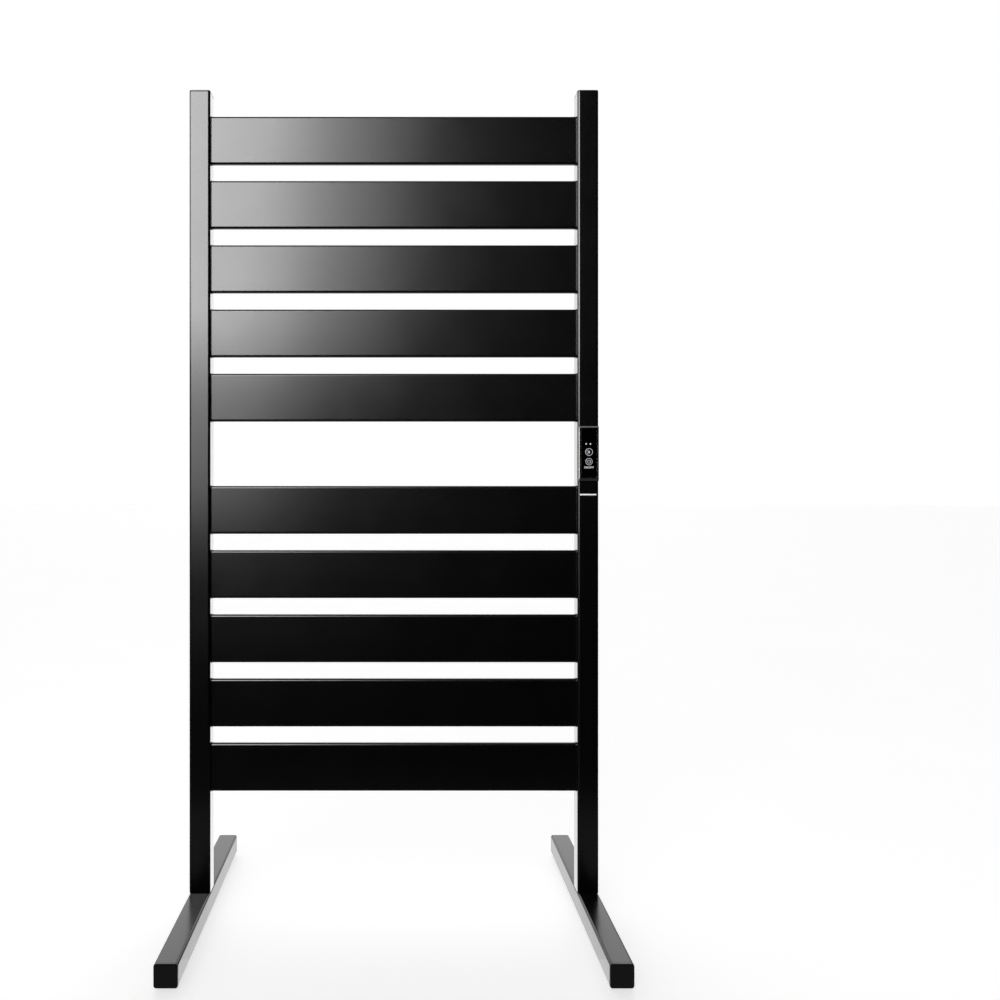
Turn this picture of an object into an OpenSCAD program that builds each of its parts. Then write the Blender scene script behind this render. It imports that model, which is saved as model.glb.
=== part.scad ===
// Free-standing electric towel warmer rack: two upright posts on T-feet,
// ten flat heated bars in two groups of five, and a control module on the
// right-hand post.  Millimetres, +Z up, front faces -Y, origin on the floor
// under the middle of the rack.

/* [Overall] */
// Width over the outside of the two posts
rack_w = 508; // [400:1:700]
// Height of a post with its top cap
panel_h = 997; // [940:1:1200]

/* [Posts] */
// Side of the square post tube
post_w = 26; // [24:0.5:32]
// Radius of the front corners of the post tube
post_r = 3; // [1.5:0.1:4]
// Radius of the rear corners of the post tube
post_rear_r = 2; // [1:0.1:3]
// Wall of the post tube
post_wall = 1.6; // [1.2:0.1:2]
// Plate thickness of the post top cap
cap_t = 2; // [1:0.1:4]

/* [Bars] */
// Height of one flat bar
bar_h = 60; // [50:1:64]
// Thickness of one flat bar
bar_t = 8; // [7.5:0.5:9]
// Radius of the four long edges of a bar
bar_r = 3; // [2:0.1:3.5]
// Wall of the bar tube
bar_wall = 1.2; // [1:0.1:1.5]
// Distance between neighbouring bars inside a group
bar_pitch = 80.2; // [75:0.1:90]
// Distance across the wide gap between bars 5 and 6
middle_pitch = 140.2; // [130:0.1:160]
// Distance from the top of the rack to the top of bar 1
top_inset = 30.4; // [20:0.1:40]
// Distance from the post front to the bar front
bar_setback = 6; // [5:0.1:12]
// Length of each bar end held inside a post
bar_tail = 5; // [3:0.5:6]
// Width that a bar collar stands out round the bar
collar_rim = 0.5; // [0.4:0.1:0.9]
// Thickness of a bar collar
collar_t = 0.8; // [0.6:0.1:2]

/* [Feet] */
// Length of a foot with its end caps
foot_len = 385; // [280:5:460]
// Side of the square foot tube
foot_w = 26; // [24:0.5:30]
// Plate thickness of a foot end cap
foot_cap_t = 3; // [2:0.5:5]
// Thickness of a rubber foot pad
pad_t = 3; // [2:0.5:6]
// Distance of a pad centre from the middle of the foot
pad_at = 162; // [100:1:170]
// Distance between the two bolts of one foot
foot_bolt_gap = 12; // [11:0.5:13]

/* [Control module] */
// Height of the module
ctl_h = 68; // [66:1:72]
// How far the module stands in front of the post
ctl_out = 5; // [4:0.5:7]
// Height of the module's middle over the middle of the post
ctl_mid = 47; // [45:0.5:48]
// Diameter of a push key
key_d = 10.2; // [9:0.1:10.4]
// Distance between the two push keys
key_gap = 11.9; // [11.8:0.1:13]
// Travel of a push key
key_travel = 0.6; // [0.3:0.1:0.7]

/* [Heating] */
// Diameter of the heating cable
cable_d = 4.5; // [3.5:0.1:4.8]
// Distance between the two runs of cable in a bar
run_gap = 30; // [26:1:34]

/* [Wall mounting] */
// Bore of a rear mounting nut
nut_bore = 6; // [5:1:6]
// Depth of a rear mounting nut
nut_len = 14; // [10:1:16]

/* [Hidden] */
$fn = 48;

// main planes and heights
foot_z = pad_t;                       // underside of the foot tube
foot_top = pad_t + foot_w;            // top of the foot, where the post stands
rack_top = foot_top + panel_h;
mid_z = foot_top + panel_h / 2;       // middle of the post height
post_x = (rack_w - post_w) / 2;       // centre of the right post
front_y = -post_w / 2;                // front of the posts
rear_y = post_w / 2;
inner_x = rack_w / 2 - post_w;        // inner side of the right post
bar_y = front_y + bar_setback + bar_t / 2;   // middle plane of the bars
bar_end = inner_x + bar_tail;         // end of a bar inside the right post
cav = post_w / 2 - post_wall;         // half width of the post's inside
cap_spigot = 10;
insert_h = 30;

// middle height of bar n, 1 at the top
function bar_z(n) = rack_top - top_inset - bar_h / 2
    - (n <= 5 ? (n - 1) * bar_pitch : 4 * bar_pitch + middle_pitch + (n - 6) * bar_pitch);

// control module
ctl_z = mid_z + ctl_mid;
ctl_y = front_y - ctl_out;            // front of the module
ctl_body_w = 15.6;                    // part of the housing inside the post
ctl_body_h = ctl_h - 6.4;
ctl_body_rear = front_y + 14;         // back of the part inside the post
ctl_wall = 1.2;
ctl_w = post_w - 1.4;                 // width of the bezel
cheek_w = min(post_r - 0.3, 2.6);     // width of the cheeks over the post corners
trim_z = mid_z - 3.7;                 // middle of the trim strip
face_w = 19.6;
face_h = 60.6;
face_t = 1.2;
face_z = ctl_z + 0.8;
key_z = [mid_z + 48.9, mid_z + 48.9 - key_gap];   // timer key, power key
led_x = [post_x - 3.6, post_x + 1.7];
led_z = mid_z + 58.9;
led_d = 1.8;
pcb_y = front_y + 4;                  // front of the circuit board
pcb_t = 1.6;
pcb_rear = pcb_y + pcb_t;
switch_h = 3.5;
plunger_d = 3.2;
pcb_fix = [[post_x - 4.2, ctl_z - 25], [post_x, ctl_z + 25]];   // board screws, x and z

// wiring inside the right post
cable_x = post_x - 1;
bend_r = 6;
splice_y = ctl_body_rear + 4.5;       // plane of the splices, behind the module
loom_d = 4;
loom_x = post_x + 4;
loom_y = front_y + 9;
term_z = foot_top + 84;               // underside of the terminal block
inlet_z = foot_top + 60;
earth_z = foot_top + 40;

// ---- shared shapes ----------------------------------------------------

// upright tube section, front edge on y = 0
module post_section(w, d, rf, rr) {
    translate([-w / 2, rf]) square([w, d - rf - rr]);
    translate([-w / 2 + rf, 0]) square([w - 2 * rf, d / 2]);
    translate([-w / 2 + rr, d / 2]) square([w - 2 * rr, d / 2]);
    for (s = [-1, 1]) {
        translate([s * (w / 2 - rf), rf]) circle(rf);
        translate([s * (w / 2 - rr), d - rr]) circle(rr);
    }
}

// rounded rectangle centred on the origin
module soft_rect(w, h, r) {
    square([w - 2 * r, h], center = true);
    square([w, h - 2 * r], center = true);
    for (x = [-1, 1], y = [-1, 1]) translate([x * (w / 2 - r), y * (h / 2 - r)]) circle(r);
}

// section of a bar, its inside or a clearance round it: t across, h high
module bar_section(t, h) soft_rect(t, h, bar_r + (t - bar_t) / 2);

// stand a section (first axis -> Y, second axis -> Z) and run it along +X
module along_x(x0, len) translate([x0, 0, 0]) rotate([90, 0, 90]) linear_extrude(len) children();
// lay a section (first axis -> X, second axis -> Z) and run it from y0 to y0 + len
module along_y(y0, len) translate([0, y0 + len, 0]) rotate([90, 0, 0]) linear_extrude(len) children();
// round rod along +Y
module rod_y(x, y0, z, d, len) translate([x, y0, z]) rotate([-90, 0, 0]) cylinder(d = d, h = len);
// round rod along +X
module rod_x(x0, y, z, d, len) translate([x0, y, z]) rotate([0, 90, 0]) cylinder(d = d, h = len);
// round rod along +Z
module rod_z(x, y, z0, d, len) translate([x, y, z0]) cylinder(d = d, h = len);
// quarter bend in the XZ plane, centre (x, z), from start angle a
module bend_xz(x, y, z, r, d, a, sweep) translate([x, y, z]) rotate([90, 0, 0]) rotate([0, 0, a])
    rotate_extrude(angle = sweep) translate([r, 0]) circle(d = d);

// ---- posts --------------------------------------------------------------

module post_shell(side) {
    difference() {
        translate([side * post_x, front_y, foot_top])
            linear_extrude(panel_h - cap_t) post_section(post_w, post_w, post_r, post_rear_r);
        translate([side * post_x, front_y + post_wall, foot_top - 1])
            linear_extrude(panel_h + 2)
                post_section(post_w - 2 * post_wall, post_w - 2 * post_wall, post_r - 1.2, post_rear_r - 0.8);
        // slots that the bars pass through
        for (n = [1 : 10]) translate([0, bar_y, bar_z(n)])
            along_x(side > 0 ? inner_x - 1 : -inner_x - post_wall - 0.4, post_wall + 1.4)
                bar_section(bar_t + 0.4, bar_h + 0.4);
        // seats of the rear mounting nuts
        for (n = [1, 10]) rod_y(side * post_x, rear_y - 5, bar_z(n), 9.2, 8);
    }
}

module left_post() color([0.07, 0.07, 0.075]) post_shell(-1);

module right_post() color([0.07, 0.07, 0.075]) difference() {
    post_shell(1);
    // window of the control module
    translate([post_x - 8, front_y - 1, ctl_z - ctl_body_h / 2 - 0.2])
        cube([16, post_wall + 2, ctl_body_h + 0.4]);
    // slot of the trim strip
    translate([post_x - 8.2, front_y - 1, trim_z - 0.8]) cube([16.4, post_wall + 2, 1.6]);
    // mains inlet and earth screw
    rod_y(post_x, rear_y - 5, inlet_z, 12.2, 8);
    rod_y(post_x, rear_y - 5, earth_z, 4.3, 8);
}

module top_cap(side) {
    translate([side * post_x, front_y, rack_top - cap_t])
        linear_extrude(cap_t) post_section(post_w, post_w, post_r, post_rear_r);
    translate([side * post_x, 0, rack_top - cap_t - cap_spigot]) linear_extrude(cap_spigot + 0.5)
        difference() {
            soft_rect(2 * cav - 0.3, 2 * cav - 0.3, 1.6);
            soft_rect(2 * cav - 3.3, 2 * cav - 3.3, 1);
        }
}
module left_top_cap() color([0.06, 0.06, 0.065]) top_cap(-1);
module right_top_cap() color([0.06, 0.06, 0.065]) top_cap(1);

module post_insert(side) difference() {
    translate([side * post_x, 0, foot_top]) linear_extrude(insert_h)
        soft_rect(2 * cav - 0.2, 2 * cav - 0.2, 1.8);
    for (s = [-1, 1]) rod_z(side * post_x, s * foot_bolt_gap / 2, foot_top - 1, 6.2, 25);
}
module left_post_insert() color([0.55, 0.56, 0.58]) post_insert(-1);
module right_post_insert() color([0.55, 0.56, 0.58]) post_insert(1);

// ---- bars ---------------------------------------------------------------

module heated_bar(n) color([0.08, 0.08, 0.085]) translate([0, bar_y, bar_z(n)])
    along_x(-bar_end, 2 * bar_end) difference() {
        bar_section(bar_t, bar_h);
        bar_section(bar_t - 2 * bar_wall, bar_h - 2 * bar_wall);
    }
module heated_bar_1() heated_bar(1);
module heated_bar_2() heated_bar(2);
module heated_bar_3() heated_bar(3);
module heated_bar_4() heated_bar(4);
module heated_bar_5() heated_bar(5);
module heated_bar_6() heated_bar(6);
module heated_bar_7() heated_bar(7);
module heated_bar_8() heated_bar(8);
module heated_bar_9() heated_bar(9);
module heated_bar_10() heated_bar(10);

module bar_collars(side) for (n = [1 : 10]) translate([0, bar_y, bar_z(n)])
    along_x(side > 0 ? inner_x - collar_t : -inner_x, collar_t) difference() {
        bar_section(bar_t + 2 * collar_rim, bar_h + 2 * collar_rim);
        bar_section(bar_t + 0.1, bar_h + 0.1);
    }
module left_bar_collars() color([0.03, 0.03, 0.03]) bar_collars(-1);
module right_bar_collars() color([0.03, 0.03, 0.03]) bar_collars(1);

// ---- feet ---------------------------------------------------------------

module foot(side) difference() {
    translate([side * post_x, 0, foot_z + foot_w / 2])
        along_y(-foot_len / 2 + foot_cap_t, foot_len - 2 * foot_cap_t) difference() {
            soft_rect(foot_w, foot_w, post_r);
            soft_rect(foot_w - 2 * post_wall, foot_w - 2 * post_wall, post_r - 1.2);
        }
    for (s = [-1, 1]) {
        rod_z(side * post_x, s * foot_bolt_gap / 2, foot_top - 5, 6.6, 8);
        rod_z(side * post_x, s * foot_bolt_gap / 2, foot_z - 2, 12, 6);
    }
    translate([side * post_x - 6, -foot_bolt_gap / 2, foot_z - 2]) cube([12, foot_bolt_gap, 6]);
}
module left_foot() color([0.07, 0.07, 0.075]) foot(-1);
module right_foot() color([0.07, 0.07, 0.075]) foot(1);

module foot_end_caps() color([0.05, 0.05, 0.055]) for (sx = [-1, 1], sy = [-1, 1])
    translate([sx * post_x, 0, foot_z + foot_w / 2]) {
        along_y(sy > 0 ? foot_len / 2 - foot_cap_t : -foot_len / 2, foot_cap_t)
            soft_rect(foot_w, foot_w, post_r);
        along_y(sy > 0 ? foot_len / 2 - foot_cap_t - 11.5 : -foot_len / 2 + foot_cap_t - 0.5, 12)
            difference() {
                soft_rect(2 * cav - 0.3, 2 * cav - 0.3, 1.6);
                soft_rect(2 * cav - 3.3, 2 * cav - 3.3, 1);
            }
    }

module foot_pads() color([0.03, 0.03, 0.03]) for (sx = [-1, 1], sy = [-1, 1])
    translate([sx * post_x, sy * pad_at, 0]) linear_extrude(pad_t) soft_rect(18, 36, 3);

module foot_clamp_plates() color([0.6, 0.61, 0.63]) for (sx = [-1, 1]) difference() {
    translate([sx * post_x, 0, foot_top - post_wall - 3]) linear_extrude(3) soft_rect(18, 26, 2);
    for (s = [-1, 1]) rod_z(sx * post_x, s * foot_bolt_gap / 2, foot_top - 8, 6.6, 8);
}

module foot_bolts() color([0.25, 0.25, 0.27]) for (sx = [-1, 1], s = [-1, 1])
    translate([sx * post_x, s * foot_bolt_gap / 2, 0]) difference() {
        union() {
            rod_z(0, 0, foot_top - post_wall - 9, 10, 6);
            rod_z(0, 0, foot_top - post_wall - 3.5, 6, 24);
        }
        translate([0, 0, foot_top - post_wall - 10]) cylinder(d = 5.77, h = 4.2, $fn = 6);
    }

// ---- control module -------------------------------------------------------

module control_housing() color([0.04, 0.04, 0.045]) {
    housing_shell();
    // bosses for the board screws
    for (p = pcb_fix) difference() {
        rod_y(p[0], pcb_rear, p[1], 4.4, ctl_body_rear - ctl_wall / 2 - pcb_rear);
        rod_y(p[0], pcb_rear - 1, p[1], 2.1, 6);
    }
}
module housing_shell() difference() {
    union() {
        // bezel with a bevel on all four sides
        intersection() {
            translate([post_x - ctl_w / 2, 0, ctl_z - ctl_h / 2]) rotate([90, 0, 90])
                linear_extrude(ctl_w) polygon([[front_y, 0], [ctl_y + 1.6, 0], [ctl_y, 3.4],
                    [ctl_y, ctl_h - 1.9], [ctl_y + 1.6, ctl_h], [front_y, ctl_h]]);
            translate([post_x, 0, ctl_z - ctl_h / 2]) linear_extrude(ctl_h)
                polygon([[-ctl_w / 2, front_y], [-ctl_w / 2, ctl_y + 0.9], [-ctl_w / 2 + 1, ctl_y],
                    [ctl_w / 2 - 1, ctl_y], [ctl_w / 2, ctl_y + 0.9], [ctl_w / 2, front_y]]);
        }
        // cheeks that carry the sides of the bezel over the rounded post corners
        for (s = [-1, 1]) translate([post_x, 0, ctl_z - ctl_h / 2]) linear_extrude(ctl_h) difference() {
            translate([s * (ctl_w / 2 - cheek_w / 2), front_y + 0.3])
                square([cheek_w, 2.6], center = true);
            translate([s * (post_w / 2 - post_r), front_y + post_r]) circle(post_r + 0.1);
        }
        // box inside the post
        translate([post_x - ctl_body_w / 2, front_y - 1, ctl_z - ctl_body_h / 2])
            cube([ctl_body_w, ctl_body_rear - front_y + 1, ctl_body_h]);
    }
    // seat of the face panel
    translate([post_x, 0, face_z]) along_y(ctl_y - 1, face_t + 1)
        soft_rect(face_w + 0.2, face_h + 0.2, 1.2);
    // room for the circuit board
    translate([post_x - ctl_body_w / 2 + ctl_wall, ctl_y + 1, ctl_z - ctl_body_h / 2 + ctl_wall])
        cube([ctl_body_w - 2 * ctl_wall, ctl_body_rear - ctl_wall - ctl_y - 1, ctl_body_h - 2 * ctl_wall]);
    // seat of the gasket
    translate([post_x, 0, ctl_z]) along_y(front_y - 0.5, 1) difference() {
        square([19.2, 66.2], center = true);
        square([ctl_body_w, ctl_body_h], center = true);
    }
    // wire entries: loom from below, heater lead from behind
    rod_z(loom_x, loom_y, ctl_z - ctl_body_h / 2 - 1, loom_d + 0.4, 3);
    rod_y(cable_x, ctl_body_rear - 1.7, mid_z + 40.5, 3.4, 3);
}

module control_gasket() color([0.02, 0.02, 0.02]) translate([post_x, 0, ctl_z])
    along_y(front_y - 0.5, 0.5) difference() {
        square([19, 66], center = true);
        square([ctl_body_w + 0.4, ctl_body_h + 0.4], center = true);
    }

module control_face() color([0.01, 0.01, 0.012]) difference() {
    translate([post_x, 0, face_z]) along_y(ctl_y, face_t) soft_rect(face_w, face_h, 1.1);
    for (z = key_z) rod_y(post_x, ctl_y - 1, z, key_d + 0.4, face_t + 2);
    for (x = led_x) rod_y(x, ctl_y - 1, led_z, led_d + 0.1, face_t + 2);
}

module push_key(z) {
    rod_y(post_x, ctl_y - 0.3, z, key_d, 1.7);
    rod_y(post_x, ctl_y + face_t + 0.1, z, key_d + 1.2, 1);
    rod_y(post_x, ctl_y + face_t + 0.6, z, 4, pcb_y - switch_h - 1.2 - ctl_y - face_t - 0.6);
}
module timer_key() color([0.05, 0.05, 0.055]) push_key(key_z[0]);
module power_key() color([0.05, 0.05, 0.055]) push_key(key_z[1]);

module key_plunger(z) rod_y(post_x, pcb_y - switch_h - 1.2, z, plunger_d, 2.6);
module timer_plunger() color([0.75, 0.74, 0.7]) key_plunger(key_z[0]);
module power_plunger() color([0.75, 0.74, 0.7]) key_plunger(key_z[1]);

module key_switch(z) difference() {
    translate([post_x - 3, pcb_y - switch_h, z - 3]) cube([6, switch_h, 6]);
    rod_y(post_x, pcb_y - switch_h - 1, z, plunger_d + 0.4, 3.2);
}
module timer_switch() color([0.12, 0.12, 0.13]) key_switch(key_z[0]);
module power_switch() color([0.12, 0.12, 0.13]) key_switch(key_z[1]);

module control_pcb() color([0.05, 0.3, 0.12]) difference() {
    translate([post_x - 6.3, pcb_y, ctl_z - 28]) cube([12.6, pcb_t, 56]);
    for (p = pcb_fix) rod_y(p[0], pcb_y - 1, p[1], 2.3, pcb_t + 2);
}

module indicator_leds() color([0.9, 0.9, 0.85]) for (x = led_x)
    translate([x - 1, pcb_y - 0.8, led_z - 0.7]) cube([2, 0.8, 1.4]);

module light_pipes() color([0.92, 0.94, 0.96]) for (x = led_x) rod_y(x, ctl_y, led_z, led_d, pcb_y - 1 - ctl_y);

module pcb_screws() color([0.7, 0.7, 0.72]) for (p = pcb_fix) {
    rod_y(p[0], pcb_y - 1.3, p[1], 3.8, 1.3);
    rod_y(p[0], pcb_y - 0.5, p[1], 2, pcb_t + 4.5);
}

module power_relay() color([0.08, 0.12, 0.3]) translate([post_x - 6, pcb_rear, mid_z + 46]) cube([12, 6.6, 19]);

module mains_connector() color([0.85, 0.85, 0.8])
    translate([post_x - 4.2, pcb_rear, mid_z + 25]) cube([10, 6.4, 10]);

module trim_strip() color([0.9, 0.9, 0.9]) {
    translate([post_x, 0, trim_z]) along_y(front_y - 0.6, 0.6) soft_rect(20.8, 2.8, 0.5);
    translate([post_x - 8, front_y - 0.3, trim_z - 0.6]) cube([16, 4, 1.2]);
}

// ---- heating ---------------------------------------------------------------

// one bar's hairpin of cable
module hairpin(z) {
    for (s = [-1, 1]) rod_x(-200, bar_y, z + s * run_gap / 2, cable_d, 200 + cable_x - bend_r);
    bend_xz(-200, bar_y, z, run_gap / 2, cable_d, 90, 180);
}
// link inside the right post from one bar down to the next
module link(z_from, z_to) {
    bend_xz(cable_x - bend_r, bar_y, z_from - bend_r, bend_r, cable_d, 0, 90);
    rod_z(cable_x, bar_y, z_to + bend_r, cable_d, z_from - z_to - 2 * bend_r);
    bend_xz(cable_x - bend_r, bar_y, z_to + bend_r, bend_r, cable_d, 270, 90);
}

// slanted step from the plane of the bars to the plane of the splices
module jog(z_from, z_bend, z_to) {
    dy = splice_y - bar_y; dz = z_bend - z_from; lo = min(z_bend, z_to);
    translate([cable_x, bar_y, z_from]) {
        sphere(d = cable_d);
        rotate([-atan2(dy, dz), 0, 0]) cylinder(d = cable_d, h = norm([dy, dz]));
    }
    translate([cable_x, splice_y, z_bend]) sphere(d = cable_d);
    rod_z(cable_x, splice_y, lo, cable_d, abs(z_to - z_bend));
}

module heating_cable_upper() color([0.75, 0.25, 0.15]) {
    for (n = [1 : 5]) hairpin(bar_z(n));
    for (n = [1 : 4]) link(bar_z(n) - run_gap / 2, bar_z(n + 1) + run_gap / 2);
    // down to the upper splice
    bend_xz(cable_x - bend_r, bar_y, bar_z(5) - run_gap / 2 - bend_r, bend_r, cable_d, 0, 90);
    jog(bar_z(5) - run_gap / 2 - bend_r, mid_z + 81, mid_z + 73.5);
}

module heating_cable_lower() color([0.75, 0.25, 0.15]) {
    for (n = [6 : 10]) hairpin(bar_z(n));
    for (n = [6 : 9]) link(bar_z(n) - run_gap / 2, bar_z(n + 1) + run_gap / 2);
    // up to the lower splice
    bend_xz(cable_x - bend_r, bar_y, bar_z(6) + run_gap / 2 + bend_r, bend_r, cable_d, 270, 90);
    jog(bar_z(6) + run_gap / 2 + bend_r, mid_z + 12, mid_z + 14);
}

module lead_splices() color([0.85, 0.8, 0.6]) {
    rod_z(cable_x, splice_y, mid_z + 55.5, 6.8, 18);
    rod_z(cable_x, splice_y, mid_z + 14, 6.8, 18);
}

module control_lead() color([0.8, 0.8, 0.78]) {
    rod_z(cable_x, splice_y, mid_z + 32, 3, 23.5);
    rod_y(cable_x, pcb_rear, mid_z + 40.5, 2.6, splice_y + 0.3 - pcb_rear);
}

module thermal_cutout() color([0.7, 0.7, 0.72])
    translate([205, bar_y - 2.5, bar_z(5) - 4]) cube([20, 5, 8]);

module temperature_sensor() color([0.7, 0.55, 0.2])
    rod_x(210, bar_y, bar_z(6), 4, 12);

// thin lead out of a bar, behind the cable and into the back of the module
module sensor_lead(x0, z, z_to) {
    d = 1.6; x = bar_end + 2.2; y = rear_y - 2.9; lo = min(z, z_to); hi = max(z, z_to);
    rod_x(x0, bar_y, z, d, x - x0);
    translate([x, bar_y, z]) sphere(d = d);
    rod_y(x, bar_y, z, d, y - bar_y);
    translate([x, y, z]) sphere(d = d);
    rod_z(x, y, lo, d, hi - lo);
    translate([x, y, z_to]) sphere(d = d);
    rod_y(x, ctl_body_rear, z_to, d, y - ctl_body_rear);
}
module sensor_leads() color([0.85, 0.85, 0.85]) {
    sensor_lead(225, bar_z(5), mid_z + 63.5);
    sensor_lead(222, bar_z(6), mid_z + 29.5);
}

module wiring_loom() color([0.15, 0.15, 0.16]) {
    rod_y(loom_x, loom_y, term_z + 13, loom_d, 1.9 - loom_y);
    translate([loom_x, loom_y, term_z + 13]) sphere(d = loom_d);
    rod_z(loom_x, loom_y, term_z + 13, loom_d, mid_z + 25 - term_z - 13);
}

module terminal_block() color([0.88, 0.87, 0.82]) difference() {
    translate([post_x - 9, 1.9, term_z]) cube([18, rear_y - post_wall - 1.9, 26]);
    for (s = [-1, 0, 1]) rod_y(post_x + s * 5.6, 0.9, term_z + 21, 3.2, 4);
}
module terminal_screws() color([0.72, 0.6, 0.3]) for (s = [-1, 0, 1])
    rod_y(post_x + s * 5.6, 2.4, term_z + 21, 3, 2.5);

module cable_inlet_gland() color([0.03, 0.03, 0.03]) difference() {
    union() {
        rod_y(post_x, rear_y, inlet_z, 16, 2);
        rod_y(post_x, rear_y - post_wall - 1.5, inlet_z, 12, post_wall + 2.5);
        rod_y(post_x, rear_y - post_wall - 1.5, inlet_z, 14, 1.5);
    }
    rod_y(post_x, rear_y - post_wall - 3, inlet_z, 7, post_wall + 6);
}

module earth_screw() color([0.72, 0.6, 0.3]) {
    rod_y(post_x, rear_y, earth_z, 7.4, 2.2);
    rod_y(post_x, rear_y - post_wall - 5.2, earth_z, 4, post_wall + 5.7);
}
module earth_ring() color([0.72, 0.6, 0.3]) difference() {
    union() {
        rod_y(post_x, rear_y - post_wall - 0.8, earth_z, 9, 0.8);
        translate([post_x, rear_y - post_wall - 0.8, earth_z - 1.5]) cube([8.2, 0.8, 3]);
        translate([post_x, rear_y - post_wall - 4, earth_z]) rotate([-90, 0, 0]) cylinder(d = 8, h = 3.2, $fn = 6);
    }
    rod_y(post_x, rear_y - post_wall - 6, earth_z, 4.2, 8);
}
module earth_lead() color([0.35, 0.6, 0.2])
    rod_z(post_x + 8.6, rear_y - post_wall - 1.9, earth_z - 1, 2, term_z - earth_z + 1);

module wall_mount_nuts() color([0.7, 0.7, 0.72]) for (sx = [-1, 1], n = [1, 10])
    translate([sx * post_x, 0, bar_z(n)]) difference() {
        union() {
            rod_y(0, rear_y, 0, 13, 1);
            rod_y(0, rear_y + 1 - nut_len, 0, 9, nut_len - 0.5);
        }
        rod_y(0, rear_y - nut_len, 0, nut_bore, nut_len + 4);
    }

left_post();
right_post();
heated_bar_1();
heated_bar_2();
heated_bar_3();
heated_bar_4();
heated_bar_5();
heated_bar_6();
heated_bar_7();
heated_bar_8();
heated_bar_9();
heated_bar_10();
left_bar_collars();
right_bar_collars();
left_top_cap();
right_top_cap();
left_post_insert();
right_post_insert();
left_foot();
right_foot();
foot_end_caps();
foot_pads();
foot_clamp_plates();
foot_bolts();
control_housing();
control_gasket();
control_face();
control_pcb();
timer_switch();
power_switch();
timer_plunger();
power_plunger();
timer_key();
power_key();
indicator_leds();
light_pipes();
pcb_screws();
power_relay();
mains_connector();
trim_strip();
heating_cable_upper();
heating_cable_lower();
lead_splices();
control_lead();
thermal_cutout();
temperature_sensor();
sensor_leads();
wiring_loom();
terminal_block();
terminal_screws();
cable_inlet_gland();
earth_screw();
earth_ring();
earth_lead();
wall_mount_nuts();
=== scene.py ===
import math

import bmesh
import bpy
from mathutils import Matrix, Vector


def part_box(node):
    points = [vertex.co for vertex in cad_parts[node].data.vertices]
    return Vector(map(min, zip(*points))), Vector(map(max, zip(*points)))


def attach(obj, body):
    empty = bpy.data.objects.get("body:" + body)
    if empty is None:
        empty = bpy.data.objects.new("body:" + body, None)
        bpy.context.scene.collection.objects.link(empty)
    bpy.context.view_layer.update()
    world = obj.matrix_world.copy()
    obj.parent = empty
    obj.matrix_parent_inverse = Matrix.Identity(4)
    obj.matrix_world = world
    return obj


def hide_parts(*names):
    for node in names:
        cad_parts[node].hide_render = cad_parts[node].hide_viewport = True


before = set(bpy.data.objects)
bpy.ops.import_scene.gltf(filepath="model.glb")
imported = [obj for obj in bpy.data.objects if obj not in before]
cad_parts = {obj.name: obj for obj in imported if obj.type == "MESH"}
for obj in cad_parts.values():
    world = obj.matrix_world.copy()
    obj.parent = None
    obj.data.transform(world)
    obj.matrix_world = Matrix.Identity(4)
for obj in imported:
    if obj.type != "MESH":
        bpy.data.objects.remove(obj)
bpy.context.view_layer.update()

scene = bpy.context.scene
scene.view_settings.view_transform = "Standard"
scene.view_settings.look = "None"

# ---- places, all from the CAD boxes ---------------------------------------
lp_lo, lp_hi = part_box("left_post")
rp_lo, rp_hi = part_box("right_post")
cap_lo, cap_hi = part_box("right_top_cap")
FOOT_TOP = lp_lo.z
RACK_TOP = cap_hi.z
MID_Z = (FOOT_TOP + RACK_TOP) / 2
FRONT_Y = lp_lo.y
REAR_Y = lp_hi.y
POST_X = (rp_lo.x + rp_hi.x) / 2
POST_W = rp_hi.x - rp_lo.x
INNER_X = rp_lo.x
CAP_T = RACK_TOP - rp_hi.z
WALL = 0.0016

# ---- camera ---------------------------------------------------------------
CAM_D = 1.200                     # in front of the post fronts
F_PX = CAM_D / 0.0012402          # focal length in pixels of a 1000 px frame
cam_data = bpy.data.cameras.new("camera")
cam_data.sensor_width = 36.0
cam_data.lens = F_PX * 36.0 / 1000.0
cam_data.shift_x = 0.1061
cam_data.shift_y = -0.0084
cam_data.clip_start = 0.05
cam_data.clip_end = 60.0
cam = bpy.data.objects.new("camera", cam_data)
scene.collection.objects.link(cam)
cam.location = (0.0, FRONT_Y - CAM_D, MID_Z)
cam.rotation_euler = (math.radians(90), 0, 0)
scene.camera = cam


# ---- materials --------------------------------------------------------------
def node(nt, kind, x, y, **values):
    n = nt.nodes.new(kind)
    n.location = (x, y)
    for k, v in values.items():
        setattr(n, k, v)
    return n


def noise(nt, vector, scale, detail, x, y, distortion=0.0):
    n = node(nt, "ShaderNodeTexNoise", x, y)
    n.inputs["Scale"].default_value = scale
    n.inputs["Detail"].default_value = detail
    n.inputs["Roughness"].default_value = 0.55
    n.inputs["Distortion"].default_value = distortion
    nt.links.new(vector, n.inputs["Vector"])
    return n.outputs["Fac"]


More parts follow.
